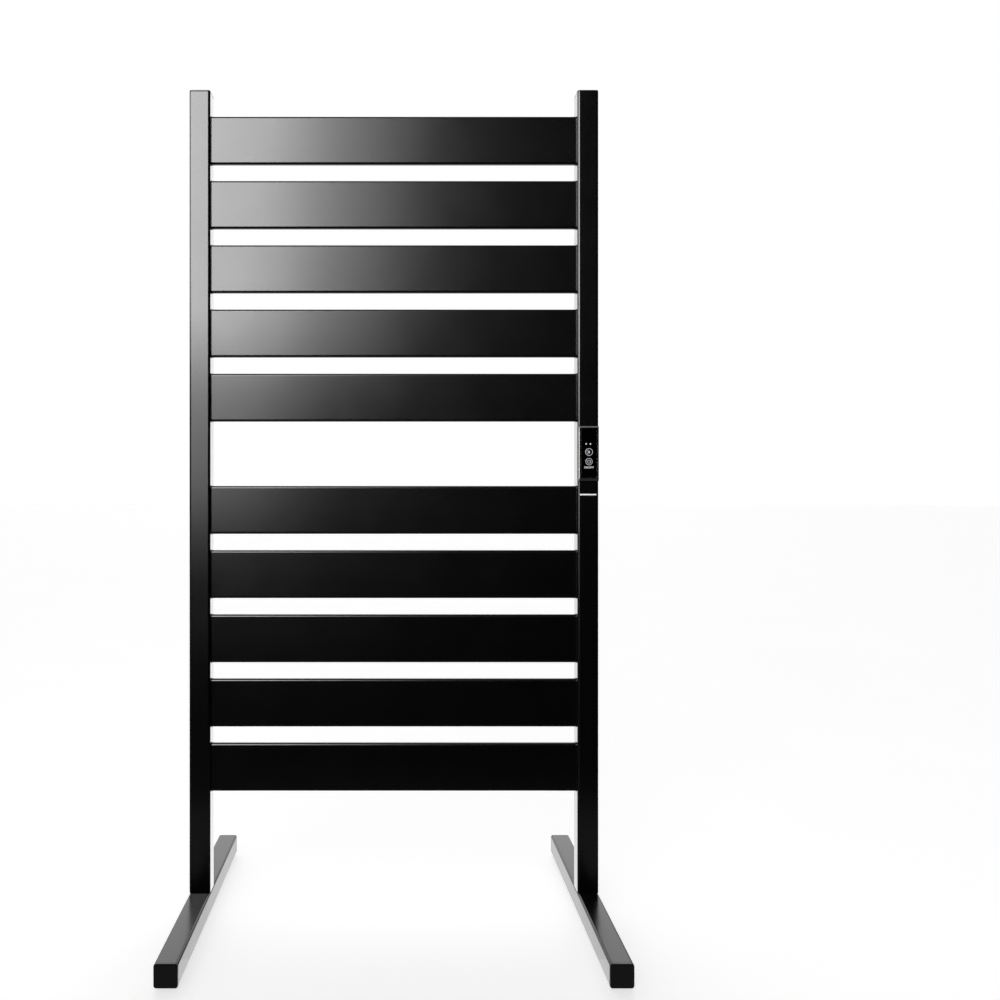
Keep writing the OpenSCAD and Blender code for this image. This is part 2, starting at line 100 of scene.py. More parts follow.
def surface(name, dark, light, rough, metallic=0.0, tone_scale=18.0, grain_scale=900.0, grain=1.2e-5,
            peel_scale=0.0, peel=0.0, stretch=(1.0, 1.0, 1.0), coat=0.0, coat_rough=0.1, specular=0.5,
            emission=None, glow=0.0, transmission=0.0, ior=1.5, sheen=0.0):
    """A finish with uneven tone, uneven roughness, a fine grain and, on paint, a broad orange peel."""
    m = bpy.data.materials.new(name)
    m.use_nodes = True
    nt = m.node_tree
    b = nt.nodes["Principled BSDF"]
    b.inputs["Metallic"].default_value = metallic
    b.inputs["IOR"].default_value = ior
    b.inputs["Specular IOR Level"].default_value = specular
    b.inputs["Coat Weight"].default_value = coat
    b.inputs["Coat Roughness"].default_value = coat_rough
    b.inputs["Transmission Weight"].default_value = transmission
    b.inputs["Sheen Weight"].default_value = sheen
    if emission:
        b.inputs["Emission Color"].default_value = (*emission, 1.0)
        b.inputs["Emission Strength"].default_value = glow
    co = node(nt, "ShaderNodeTexCoord", -1400, 0)
    mp = node(nt, "ShaderNodeMapping", -1220, 0)
    mp.inputs["Scale"].default_value = stretch
    nt.links.new(co.outputs["Object"], mp.inputs["Vector"])
    vec = mp.outputs["Vector"]
    tone = noise(nt, vec, tone_scale, 4.0, -1000, 260)
    ramp = node(nt, "ShaderNodeValToRGB", -760, 260)
    ramp.color_ramp.elements[0].position = 0.32
    ramp.color_ramp.elements[0].color = (*dark, 1.0)
    ramp.color_ramp.elements[1].position = 0.70
    ramp.color_ramp.elements[1].color = (*light, 1.0)
    nt.links.new(tone, ramp.inputs["Fac"])
    nt.links.new(ramp.outputs["Color"], b.inputs["Base Color"])
    rn = noise(nt, vec, tone_scale * 2.3, 5.0, -1000, 0)
    rr = node(nt, "ShaderNodeMapRange", -760, 0)
    rr.inputs["From Min"].default_value = 0.3
    rr.inputs["From Max"].default_value = 0.7
    rr.inputs["To Min"].default_value = rough[0]
    rr.inputs["To Max"].default_value = rough[1]
    nt.links.new(rn, rr.inputs["Value"])
    nt.links.new(rr.outputs["Result"], b.inputs["Roughness"])
    last = None
    if peel > 0:
        pn = noise(nt, vec, peel_scale, 2.0, -1000, -260)
        bp = node(nt, "ShaderNodeBump", -520, -260)
        bp.inputs["Strength"].default_value = 1.0
        bp.inputs["Distance"].default_value = peel
        nt.links.new(pn, bp.inputs["Height"])
        last = bp.outputs["Normal"]
    if grain > 0:
        gn = noise(nt, vec, grain_scale, 2.0, -1000, -520)
        bg = node(nt, "ShaderNodeBump", -300, -420)
        bg.inputs["Strength"].default_value = 1.0
        bg.inputs["Distance"].default_value = grain
        nt.links.new(gn, bg.inputs["Height"])
        if last is not None:
            nt.links.new(last, bg.inputs["Normal"])
        last = bg.outputs["Normal"]
    if last is not None:
        nt.links.new(last, b.inputs["Normal"])
    return m


M = {
    "frame_paint": surface("frame_paint", (0.0050, 0.0050, 0.0054), (0.0080, 0.0080, 0.0085), (0.205, 0.230),
                           tone_scale=9, peel_scale=230, peel=7e-6, grain_scale=1500, grain=1.5e-6),
    "bar_paint": surface("bar_paint", (0.0050, 0.0050, 0.0054), (0.0080, 0.0080, 0.0085), (0.205, 0.230),
                         tone_scale=9, peel_scale=230, peel=7e-6, grain_scale=1500, grain=1.5e-6),
    "cap_plastic": surface("cap_plastic", (0.0070, 0.0070, 0.0075), (0.0110, 0.0110, 0.0117), (0.26, 0.32),
                           tone_scale=60, grain_scale=2600, grain=5.0e-6),
    "collar_plastic": surface("collar_plastic", (0.0055, 0.0055, 0.0058), (0.0090, 0.0090, 0.0094), (0.22, 0.27),
                              tone_scale=60, grain_scale=2600, grain=2.0e-6),
    "black_rubber": surface("black_rubber", (0.012, 0.012, 0.012), (0.022, 0.022, 0.021), (0.70, 0.84),
                            tone_scale=80, grain_scale=1800, grain=3.0e-5),
    "bezel_plastic": surface("bezel_plastic", (0.0050, 0.0050, 0.0054), (0.0080, 0.0080, 0.0085), (0.13, 0.18),
                             tone_scale=90, grain_scale=2600, grain=4.0e-6),
    "gloss_face": surface("gloss_face", (0.0020, 0.0020, 0.0022), (0.0034, 0.0034, 0.0037), (0.045, 0.085),
                          tone_scale=70, grain_scale=600, grain=0.6e-6, coat=0.4, coat_rough=0.03),
    "key_plastic": surface("key_plastic", (0.0035, 0.0035, 0.0038), (0.0060, 0.0060, 0.0064), (0.12, 0.18),
                           tone_scale=120, grain_scale=2000, grain=1.0e-6),
    "clear_lens": surface("clear_lens", (0.86, 0.90, 0.93), (0.95, 0.97, 0.98), (0.08, 0.14), tone_scale=300,
                          grain_scale=2400, grain=1.0e-6, transmission=0.25, ior=1.49,
                          emission=(0.94, 0.97, 1.0), glow=0.34),
    "led_body": surface("led_body", (0.80, 0.80, 0.74), (0.88, 0.88, 0.83), (0.25, 0.35), tone_scale=300,
                        grain_scale=2400, grain=2.0e-6),
    "trim_metal": surface("trim_metal", (0.80, 0.81, 0.82), (0.90, 0.91, 0.92), (0.24, 0.34), metallic=1.0,
                          tone_scale=150, grain_scale=1500, grain=6.0e-6, stretch=(0.06, 1.0, 1.0)),
    "insert_metal": surface("insert_metal", (0.50, 0.51, 0.53), (0.64, 0.65, 0.67), (0.30, 0.42), metallic=1.0,
                            tone_scale=120, grain_scale=1600, grain=8.0e-6, stretch=(1.0, 1.0, 0.08)),
    "zinc_steel": surface("zinc_steel", (0.50, 0.51, 0.53), (0.68, 0.69, 0.70), (0.26, 0.42), metallic=1.0,
                          tone_scale=160, grain_scale=1400, grain=1.0e-5),
    "black_steel": surface("black_steel", (0.035, 0.035, 0.038), (0.065, 0.064, 0.068), (0.34, 0.48), metallic=0.9,
                           tone_scale=160, grain_scale=1400, grain=1.0e-5),
    "brass_parts": surface("brass_parts", (0.62, 0.46, 0.19), (0.78, 0.62, 0.30), (0.22, 0.36), metallic=1.0,
                           tone_scale=150, grain_scale=1500, grain=6.0e-6),
    "circuit_board": surface("circuit_board", (0.016, 0.13, 0.045), (0.034, 0.23, 0.08), (0.28, 0.42),
                             tone_scale=240, grain_scale=900, grain=2.0e-5),
    "switch_plastic": surface("switch_plastic", (0.032, 0.032, 0.035), (0.055, 0.055, 0.060), (0.38, 0.50),
                              tone_scale=200, grain_scale=2400, grain=1.0e-5),
    "pale_plastic": surface("pale_plastic", (0.70, 0.68, 0.60), (0.80, 0.78, 0.70), (0.38, 0.50),
                            tone_scale=120, grain_scale=2400, grain=1.0e-5),
    "relay_plastic": surface("relay_plastic", (0.022, 0.045, 0.17), (0.034, 0.066, 0.24), (0.22, 0.32),
                             tone_scale=120, grain_scale=2400, grain=5.0e-6),
    "cable_silicone": surface("cable_silicone", (0.36, 0.075, 0.035), (0.50, 0.12, 0.06), (0.50, 0.64),
                              tone_scale=60, grain_scale=1500, grain=1.5e-5, sheen=0.15),
    "grey_wire": surface("grey_wire", (0.46, 0.46, 0.45), (0.58, 0.58, 0.57), (0.42, 0.54), tone_scale=90,
                         grain_scale=1800, grain=8.0e-6),
    "dark_wire": surface("dark_wire", (0.028, 0.028, 0.031), (0.046, 0.046, 0.050), (0.46, 0.60), tone_scale=90,
                         grain_scale=1200, grain=2.0e-5),
    "green_wire": surface("green_wire", (0.07, 0.28, 0.035), (0.12, 0.40, 0.06), (0.42, 0.54), tone_scale=90,
                          grain_scale=1800, grain=8.0e-6),
}
# white ink; its emission is a painted glow that makes the marks brighter than the lamps alone would light them
PRINT_WITH_PAINTED_GLOW = surface("white_print_painted_glow", (0.70, 0.70, 0.71), (0.82, 0.82, 0.83), (0.42, 0.54), tone_scale=500,
                grain_scale=3000, grain=2.0e-6, emission=(0.92, 0.95, 1.0), glow=0.50)


# ---- mesh building ------------------------------------------------------------
def arc(cx, cy, r, a0, a1, n):
    return [(cx + r * math.cos(math.radians(a0 + (a1 - a0) * i / n)),
             cy + r * math.sin(math.radians(a0 + (a1 - a0) * i / n))) for i in range(n + 1)]


def rounded(u0, u1, v0, v1, r, n=8):
    """Rounded rectangle, counter-clockwise; r is one radius or four (low-low, high-low, high-high, low-high)."""
    r = [r] * 4 if not isinstance(r, (list, tuple)) else list(r)
    r = [max(x, 1e-5) for x in r]
    return (arc(u0 + r[0], v0 + r[0], r[0], 180, 270, n) + arc(u1 - r[1], v0 + r[1], r[1], 270, 360, n)
            + arc(u1 - r[2], v1 - r[2], r[2], 0, 90, n) + arc(u0 + r[3], v1 - r[3], r[3], 90, 180, n))


def box_ring(w, h, r, inset=0.0, n=8):
    rr = [max(x - inset, 2e-5) for x in r] if isinstance(r, (list, tuple)) else max(r - inset, 2e-5)
    return rounded(-w / 2 + inset, w / 2 - inset, -h / 2 + inset, h / 2 - inset, rr, n)


def circle(r, n=48):
    return [(r * math.cos(2 * math.pi * i / n), r * math.sin(2 * math.pi * i / n)) for i in range(n)]


def make(name, verts, faces):
    me = bpy.data.meshes.new(name)
    me.from_pydata([tuple(v) for v in verts], [], faces)
    bm = bmesh.new()
    bm.from_mesh(me)
    bmesh.ops.recalc_face_normals(bm, faces=bm.faces)
    bm.to_mesh(me)
    bm.free()
    me.update()
    ob = bpy.data.objects.new(name, me)
    scene.collection.objects.link(ob)
    return ob


def loft(name, rings, loop=False):
    """Joins rings of 3-D points. loop closes the last ring to the first; otherwise both ends are capped."""
    n = len(rings[0])
    verts = [p for ring in rings for p in ring]
    faces = []
    count = len(rings)
    for i in range(count if loop else count - 1):
        a, b = i * n, ((i + 1) % count) * n
        for j in range(n):
            k = (j + 1) % n
            faces.append((a + j, a + k, b + k, b + j))
    if not loop:
        faces.append(tuple(range(n))[::-1])
        faces.append(tuple(range((count - 1) * n, count * n)))
    return make(name, verts, faces)


def join(name, objs):
    verts, faces = [], []
    for o in objs:
        base = len(verts)
        verts += [v.co.copy() for v in o.data.vertices]
        faces += [tuple(base + i for i in p.vertices) for p in o.data.polygons]
        old = o.data
        bpy.data.objects.remove(o)
        bpy.data.meshes.remove(old)
    return make(name, verts, faces)


def bake(ob):
    """Turns an object's modifiers into its mesh."""
    dg = bpy.context.evaluated_depsgraph_get()
    me = bpy.data.meshes.new_from_object(ob.evaluated_get(dg), depsgraph=dg)
    old = ob.data
    ob.modifiers.clear()
    ob.data = me
    bpy.data.meshes.remove(old)
    return ob


def cut(ob, cutters):
    for c in cutters:
        m = ob.modifiers.new("cut", "BOOLEAN")
        m.operation = "DIFFERENCE"
        m.solver = "EXACT"
        m.object = c
    bake(ob)
    for c in cutters:
        old = c.data
        bpy.data.objects.remove(c)
        bpy.data.meshes.remove(old)
    bm = bmesh.new()
    bm.from_mesh(ob.data)
    bmesh.ops.remove_doubles(bm, verts=bm.verts, dist=1e-6)
    bm.to_mesh(ob.data)
    bm.free()
    return ob


def soften(ob, width, segments=2, angle=32.0):
    """Small rounding on every hard edge."""
    m = ob.modifiers.new("edge", "BEVEL")
    m.limit_method = "ANGLE"
    m.angle_limit = math.radians(angle)
    m.width = width
    m.segments = segments
    m.use_clamp_overlap = True
    return bake(ob)


def done(ob, mat, body, nodes=(), sharp=38.0):
    ob.data.materials.clear()
    ob.data.materials.append(mat)
    ob.data.shade_smooth()
    ob.data.set_sharp_from_angle(angle=math.radians(sharp))
    w = ob.modifiers.new("normals", "WEIGHTED_NORMAL")
    w.mode = "FACE_AREA"
    w.weight = 50
    w.keep_sharp = True
    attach(ob, body)
    if nodes:
        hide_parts(*nodes)
    return ob


# maps a section (u, v) and a place a along the axis to space
def along_x(y, z):
    return lambda u, v, a: Vector((a, y + u, z + v))


def along_y(x, z):
    return lambda u, v, a: Vector((x + u, a, z + v))


def along_z(x, y):
    return lambda u, v, a: Vector((x + u, y + v, a))


def rings_of(sections, put):
    """sections: list of (outline, place along the axis)."""
    return [[put(u, v, a) for u, v in outline] for outline, a in sections]


def fillet(a_flat, a_end, r, steps=4):
    """(inset, place) pairs that round an outline off towards a_end, starting r before it."""
    s = 1.0 if a_end > a_flat else -1.0
    return [(r * (1 - math.cos(t)), a_end - s * r + s * r * math.sin(t))
            for t in [math.pi / 2 * i / steps for i in range(steps + 1)]]


def lathe(name, profile, put, n=64, hollow=False):
    """profile: list of (radius, place). A hollow profile is a closed loop round the axis."""
    return loft(name, rings_of([(circle(max(r, 1e-5), n), a) for r, a in profile], put), loop=hollow)


def prism(name, outline, a0, a1, put):
    return loft(name, rings_of([(outline, a0), (outline, a1)], put))


# ---- posts ----------------------------------------------------------------------
BARS = []
for i in range(1, 11):
    lo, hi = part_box("heated_bar_%d" % i)
    BARS.append((lo, hi))
BAR_T = BARS[0][1].y - BARS[0][0].y
BAR_R = 0.003                                         # radius of a bar's long edges
BAR_H = BARS[0][1].z - BARS[0][0].z
BAR_Y = (BARS[0][0].y + BARS[0][1].y) / 2
BAR_END = BARS[0][1].x
BAR_Z = [(lo.z + hi.z) / 2 for lo, hi in BARS]

ch_lo, ch_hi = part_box("control_housing")
CTL_Z = (ch_lo.z + ch_hi.z) / 2
CTL_Y = ch_lo.y
CTL_H = ch_hi.z - ch_lo.z
tr_lo, tr_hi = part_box("trim_strip")
TRIM_Z = (tr_lo.z + tr_hi.z) / 2
gl_lo, gl_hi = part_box("cable_inlet_gland")
INLET_Z = (gl_lo.z + gl_hi.z) / 2
es_lo, es_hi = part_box("earth_screw")
EARTH_Z = (es_lo.z + es_hi.z) / 2


def build_post(name, side):
    x = side * POST_X
    put = along_z(x, 0.0)
    outer = box_ring(POST_W, POST_W, [0.003, 0.003, 0.002, 0.002])
    inner = box_ring(POST_W - 2 * WALL, POST_W - 2 * WALL, [0.0018, 0.0018, 0.0012, 0.0012])
    top = RACK_TOP - CAP_T
    ob = loft(name, rings_of([(outer, FOOT_TOP), (outer, top), (inner, top), (inner, FOOT_TOP)], put), loop=True)
    cutters = []
    x0, x1 = (INNER_X - 0.001, INNER_X + WALL + 0.0004) if side > 0 else (-INNER_X - WALL - 0.0004, -INNER_X + 0.001)
    slot_cut = []
    for z in BAR_Z:
        sec = box_ring(BAR_T + 0.0004, BAR_H + 0.0004, BAR_R + 0.0002, n=10)
        slot_cut.append(prism("c", sec, x0, x1, along_x(BAR_Y, z)))
    for z in (BAR_Z[0], BAR_Z[9]):
        slot_cut.append(prism("c", circle(0.0046), REAR_Y - 0.005, REAR_Y + 0.003, along_y(x, z)))
    if side > 0:
        hz = CTL_H - 0.0064 + 0.0004
        slot_cut.append(prism("c", box_ring(0.016, hz, 0.0002, n=2), FRONT_Y - 0.001, FRONT_Y + WALL + 0.001, along_y(x, CTL_Z)))
        slot_cut.append(prism("c", box_ring(0.0164, 0.0016, 0.0001, n=2), FRONT_Y - 0.001, FRONT_Y + WALL + 0.001,
                              along_y(x, TRIM_Z)))
        slot_cut.append(prism("c", circle(0.0061), REAR_Y - 0.005, REAR_Y + 0.003, along_y(x, INLET_Z)))
        slot_cut.append(prism("c", circle(0.00215), REAR_Y - 0.005, REAR_Y + 0.003, along_y(x, EARTH_Z)))
    cutters.append(join("cutter", slot_cut))
    cut(ob, cutters)
    soften(ob, 0.00025, 2)
    done(ob, M["frame_paint"], "rack", [name.replace("_tube", "")])
    return ob


LEFT_POST = build_post("left_post_tube", -1)
RIGHT_POST = build_post("right_post_tube", 1)

# ---- bars -------------------------------------------------------------------------
for i, (lo, hi) in enumerate(BARS, 1):
    z = BAR_Z[i - 1]
    put = along_x(BAR_Y, z)
    wall = 0.0012
    outer = box_ring(BAR_T, BAR_H, BAR_R, n=12)
    inner = box_ring(BAR_T - 2 * wall, BAR_H - 2 * wall, BAR_R - wall, n=12)
    xs = [-BAR_END + 2 * BAR_END * k / 12 for k in range(13)]
    sections = [(outer, xx) for xx in xs] + [(inner, xx) for xx in xs[::-1]]
    ob = loft("bar_%02d_tube" % i, rings_of(sections, put), loop=True)
    done(ob, M["bar_paint"], "rack", ["heated_bar_%d" % i])

# ---- collars at the bar ends ---------------------------------------------------------
col_lo, col_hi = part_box("left_bar_collars")
rim = (col_hi.z - BARS[0][1].z)
thick = col_hi.x - col_lo.x
for side, word in ((-1, "left"), (1, "right")):
    parts = []
    for z in BAR_Z:
        put = along_x(BAR_Y, z)
        a_in = side * INNER_X                         # against the post
        a_out = side * (INNER_X - thick)              # towards the middle of the bar
        s = -side
        prof = [(0.00005, a_in), (rim, a_in), (rim, a_out - s * 0.00030)]
        prof += [(rim - 0.00022 * (1 - math.cos(t)), a_out - s * 0.00022 + s * 0.00022 * math.sin(t))
                 for t in (math.pi / 8, math.pi / 4, 3 * math.pi / 8, math.pi / 2)]
        prof += [(0.00012, a_out), (0.00005, a_out - s * 0.0001)]
        sections = [(box_ring(BAR_T + 2 * o, BAR_H + 2 * o, BAR_R + o, n=10), a) for o, a in prof]
        parts.append(loft("c", rings_of(sections, put), loop=True))
    done(join(word + "_collar_set", parts), M["collar_plastic"], "rack", [word + "_bar_collars"])


# ---- caps -----------------------------------------------------------------------------
def plug(name, put, r, a_in, a_out, spigot, w=POST_W):
    """Moulded plug for a square tube: a plate with soft edges and a hollow spigot."""
    s = 1.0 if a_out > a_in else -1.0
    t = abs(a_out - a_in)
    er = min(0.0011, t * 0.55)
    sec = []
    pairs = fillet(a_in, a_out, er, 6)[::-1]
    sec += [(box_ring(w, w, r, er * 1.9, n=8), a_out)]
    sec += [(box_ring(w, w, r, ins, n=8), a) for ins, a in pairs]
    sec += [(box_ring(w, w, r, 0.00008, n=8), a_in + s * 0.00028), (box_ring(w, w, r, 0.00034, n=8), a_in)]
    wi = w - 2 * WALL - 0.0003
    sec += [(box_ring(wi, wi, 0.0016, n=8), a_in), (box_ring(wi, wi, 0.0016, n=8), a_in - s * (spigot - 0.001)),
            (box_ring(wi - 0.001, wi - 0.001, 0.0012, n=8), a_in - s * spigot),
            (box_ring(wi - 0.003, wi - 0.003, 0.001, n=8), a_in - s * spigot),
            (box_ring(wi - 0.003, wi - 0.003, 0.001, n=8), a_in)]
    return loft(name, rings_of(sec, put))


for side, word in ((-1, "left"), (1, "right")):
    ob = plug(word + "_cap_moulding", along_z(side * POST_X, 0.0), [0.003, 0.003, 0.002, 0.002],
              RACK_TOP - CAP_T, RACK_TOP, 0.010)
    done(ob, M["cap_plastic"], "rack", [word + "_top_cap"])

# ---- feet -------------------------------------------------------------------------------
lf_lo, lf_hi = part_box("left_foot")
fc_lo, fc_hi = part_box("foot_end_caps")
FOOT_Z = lf_lo.z
FOOT_W = lf_hi.z - lf_lo.z
FOOT_MID = (lf_lo.z + lf_hi.z) / 2
FEET = []
for side, word in ((-1, "left"), (1, "right")):
    put = along_y(side * POST_X, FOOT_MID)
    outer = box_ring(FOOT_W, FOOT_W, 0.003)
    inner = box_ring(FOOT_W - 2 * WALL, FOOT_W - 2 * WALL, 0.0018)
    ob = loft(word + "_foot_tube", rings_of([(outer, lf_lo.y), (outer, lf_hi.y), (inner, lf_hi.y), (inner, lf_lo.y)], put),
              loop=True)
    holes = [prism("c", circle(0.0033), FOOT_TOP - 0.005, FOOT_TOP + 0.003, along_z(side * POST_X, s * 0.006))
             for s in (-1, 1)]
    slot_sec = [(x * 1.0, y) for x, y in rounded(-0.006, 0.006, -0.012, 0.012, 0.00599, n=12)]
    holes.append(prism("c", slot_sec, FOOT_Z - 0.002, FOOT_Z + 0.004, along_z(side * POST_X, 0.0)))
    cut(ob, [join("cutter", holes)])
    soften(ob, 0.00025, 2)
    FEET.append(done(ob, M["frame_paint"], "rack", [word + "_foot"]))

parts = []
for sx in (-1, 1):
    for sy in (-1, 1):
        put = along_y(sx * POST_X, FOOT_MID)
        a_in = lf_lo.y if sy < 0 else lf_hi.y
        a_out = fc_lo.y if sy < 0 else fc_hi.y
        parts.append(plug("c", put, 0.003, a_in, a_out, 0.0115, FOOT_W))
FEET.append(done(join("foot_cap_mouldings", parts), M["cap_plastic"], "rack", ["foot_end_caps"]))

pd_lo, pd_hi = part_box("foot_pads")
PAD_T = pd_hi.z - pd_lo.z
parts = []
PAD_AT = pd_hi.y - 0.018
for sx in (-1, 1):
    for sy in (-1, 1):
        put = along_z(sx * POST_X, sy * PAD_AT)
        sec = [(box_ring(0.018, 0.036, 0.003, 0.0002), pd_hi.z), (box_ring(0.018, 0.036, 0.003), pd_hi.z - 0.0002)]
        sec += [(box_ring(0.018, 0.036, 0.003, ins), a) for ins, a in fillet(pd_hi.z, pd_lo.z, 0.0010, 4)]
        sec += [(box_ring(0.018, 0.036, 0.003, 0.0026), pd_lo.z), (box_ring(0.018, 0.036, 0.003, 0.0030), pd_lo.z + 0.0006)]
        for k in range(1, 4):                         # shallow steps inside the rim
            sec += [(box_ring(0.018, 0.036, 0.003, 0.0030 + 0.0012 * k), pd_lo.z + 0.0006 + (0.0003 if k % 2 else 0.0))]
        parts.append(loft("c", rings_of(sec, put)))
done(join("foot_pad_mouldings", parts), M["black_rubber"], "rack", ["foot_pads"])

# ---- rear fittings ------------------------------------------------------------------------
wn_lo, wn_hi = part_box("wall_mount_nuts")
parts = []
for sx in (-1, 1):
    for z in (BAR_Z[0], BAR_Z[9]):
        y1, y0 = wn_hi.y, wn_lo.y
        prof = [(0.0030, y0), (0.0043, y0), (0.0045, y0 + 0.0003), (0.0045, REAR_Y), (0.0063, REAR_Y),
                (0.0065, REAR_Y + 0.0002), (0.0065, y1 - 0.0004), (0.0063, y1 - 0.0001), (0.0060, y1),
                (0.0038, y1), (0.0030, y1 - 0.0007)]
        parts.append(lathe("c", prof, along_y(sx * POST_X, z), 48, hollow=True))
done(join("wall_nut_set", parts), M["zinc_steel"], "rack", ["wall_mount_nuts"])

y1, y0 = gl_hi.y, gl_lo.y
prof = [(0.0035, y0), (0.0066, y0), (0.0070, y0 + 0.0004), (0.0070, y0 + 0.0012), (0.0068, y0 + 0.0015),
        (0.0060, y0 + 0.0015), (0.0060, REAR_Y), (0.0078, REAR_Y), (0.0080, REAR_Y + 0.0003),
        (0.0080, y1 - 0.0009), (0.0077, y1 - 0.0004), (0.0071, y1 - 0.00008), (0.0064, y1),
        (0.0044, y1), (0.0039, y1 - 0.0001), (0.0036, y1 - 0.0004), (0.0035, y1 - 0.0008)]
done(lathe("inlet_grommet", prof, along_y(POST_X, INLET_Z), 64, hollow=True), M["black_rubber"], "rack",
     ["cable_inlet_gland"])

y1, y0 = es_hi.y, es_lo.y
prof = [(1e-5, y0), (0.0017, y0), (0.0020, y0 + 0.0003), (0.0020, REAR_Y), (0.0035, REAR_Y),
        (0.0037, REAR_Y + 0.0002), (0.0037, REAR_Y + 0.0010), (0.0035, REAR_Y + 0.0015), (0.0031, REAR_Y + 0.0019),
        (0.0024, y1 - 0.00008), (0.0012, y1), (1e-5, y1)]
ob = lathe("earth_screw_body", prof, along_y(POST_X, EARTH_Z), 48)
cut(ob, [join("cutter", [prism("c", box_ring(0.0046, 0.0009, 0.0001, n=2), y1 - 0.0012, y1 + 0.001, along_y(POST_X, EARTH_Z)),
                         prism("c", box_ring(0.0009, 0.00012, 0.00005, n=2), y1 + 0.002, y1 + 0.003, along_y(POST_X, EARTH_Z))])])
done(ob, M["brass_parts"], "rack", ["earth_screw"])

# ---- control module --------------------------------------------------------------------------
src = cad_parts["control_housing"]
me = src.data.copy()
bm = bmesh.new()
bm.from_mesh(me)
bmesh.ops.remove_doubles(bm, verts=bm.verts, dist=2e-6)
bmesh.ops.dissolve_limit(bm, angle_limit=math.radians(1.0), verts=bm.verts, edges=bm.edges)
bmesh.ops.recalc_face_normals(bm, faces=bm.faces)
verts = [v.co.copy() for v in bm.verts]
faces = [tuple(v.index for v in f.verts) for f in bm.faces]
bm.free()
bpy.data.meshes.remove(me)
ob = make("module_housing", verts, faces)
# rounding on the edges in front of the post only
me = ob.data
bm = bmesh.new()
bm.from_mesh(me)
wl = bm.edges.layers.float.new("bevel_weight_edge")
for e in bm.edges:
    front = all(v.co.y < FRONT_Y - 0.0012 for v in e.verts)
    if front and len(e.link_faces) == 2 and e.calc_face_angle(0.0) > math.radians(20):
        e[wl] = 1.0
bm.to_mesh(me)
bm.free()
m = ob.modifiers.new("edge", "BEVEL")
m.limit_method = "WEIGHT"
m.width = 0.00028
m.segments = 3
m.use_clamp_overlap = True
bake(ob)
done(ob, M["bezel_plastic"], "rack", ["control_housing"], sharp=50)
HOUSING = ob

fa_lo, fa_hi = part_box("control_face")
FACE_Z = (fa_lo.z + fa_hi.z) / 2
FACE_W, FACE_H, FACE_T = fa_hi.x - fa_lo.x, fa_hi.z - fa_lo.z, fa_hi.y - fa_lo.y
KEYS = {}
for k in ("timer", "power"):
    lo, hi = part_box(k + "_key")
    KEYS[k] = ((lo.z + hi.z) / 2, lo, hi)
lpipe_lo, lpipe_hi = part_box("light_pipes")
LED_Z = (lpipe_lo.z + lpipe_hi.z) / 2
LED_R = (lpipe_hi.z - lpipe_lo.z) / 2
LED_X = [lpipe_lo.x + LED_R, lpipe_hi.x - LED_R]
KEY_R = 0.0051

put = along_y(POST_X, FACE_Z)
sec = [(box_ring(FACE_W, FACE_H, 0.0011), fa_hi.y)]
sec += [(box_ring(FACE_W, FACE_H, 0.0011, ins), a) for ins, a in fillet(fa_hi.y, fa_lo.y, 0.0003, 4)]
ob = loft("face_panel", rings_of(sec, put))
holes = [prism("c", circle(KEY_R + 0.0002, 72), fa_lo.y - 0.001, fa_hi.y + 0.001, along_y(POST_X, z)) for z, lo, hi in KEYS.values()]
holes += [prism("c", circle(LED_R + 0.00005, 32), fa_lo.y - 0.001, fa_hi.y + 0.001, along_y(x, LED_Z)) for x in LED_X]
cut(ob, [join("cutter", holes)])
done(ob, M["gloss_face"], "rack", ["control_face"])

for k, (z, lo, hi) in KEYS.items():
    yf = lo.y
    yb = fa_hi.y + 0.0001                             # front of the flange behind the panel
    flange = KEY_R + 0.0006
    prof = [(1e-5, yf + 0.00012), (0.0020, yf + 0.00010), (0.0036, yf + 0.00004), (0.0044, yf), (0.0048, yf + 0.00003),
            (0.0050, yf + 0.00012), (KEY_R, yf + 0.0003), (KEY_R, yb), (flange - 0.0001, yb), (flange, yb + 0.0001),
            (flange, yb + 0.0009), (flange - 0.0001, yb + 0.001), (0.0020, yb + 0.001), (0.0020, hi.y - 0.0002),
            (0.0018, hi.y), (1e-5, hi.y)]
    ob = lathe(k + "_key_cap", prof, along_y(POST_X, z), 72)
    done(ob, M["key_plastic"], k + "_button", [k + "_key"])

parts = []
for x in LED_X:
    yf = lpipe_lo.y
    prof = [(1e-5, yf - 0.00016), (LED_R * 0.5, yf - 0.00012), (LED_R * 0.82, yf - 0.00004), (LED_R, yf + 0.0001),
            (LED_R, lpipe_hi.y), (1e-5, lpipe_hi.y)]
    parts.append(lathe("c", prof, along_y(x, LED_Z), 32))
done(join("light_pipe_pair", parts), M["clear_lens"], "rack", ["light_pipes"])


# printed marks: thin raised ink, which also carries a painted glow
def ring_mark(r_out, r_in, y0, y1, x, z):
    return lathe("c", [(r_out, y0), (r_out, y1), (r_in, y1), (r_in, y0)], along_y(x, z), 72, hollow=True)


def arc_mark(r, line, a0, a1, y0, y1, x, z):
    n = 36
    o = arc(0, 0, r + line / 2, a0, a1, n)
    e1 = arc(r * math.cos(math.radians(a1)), r * math.sin(math.radians(a1)), line / 2, a1, a1 + 180, 6)[1:-1]
    i = arc(0, 0, r - line / 2, a1, a0, n)
    e0 = arc(r * math.cos(math.radians(a0)), r * math.sin(math.radians(a0)), line / 2, a0 + 180, a0 + 360, 6)[1:-1]
    return prism("c", o + e1 + i + e0, y0, y1, along_y(x, z))


INK = 0.00004
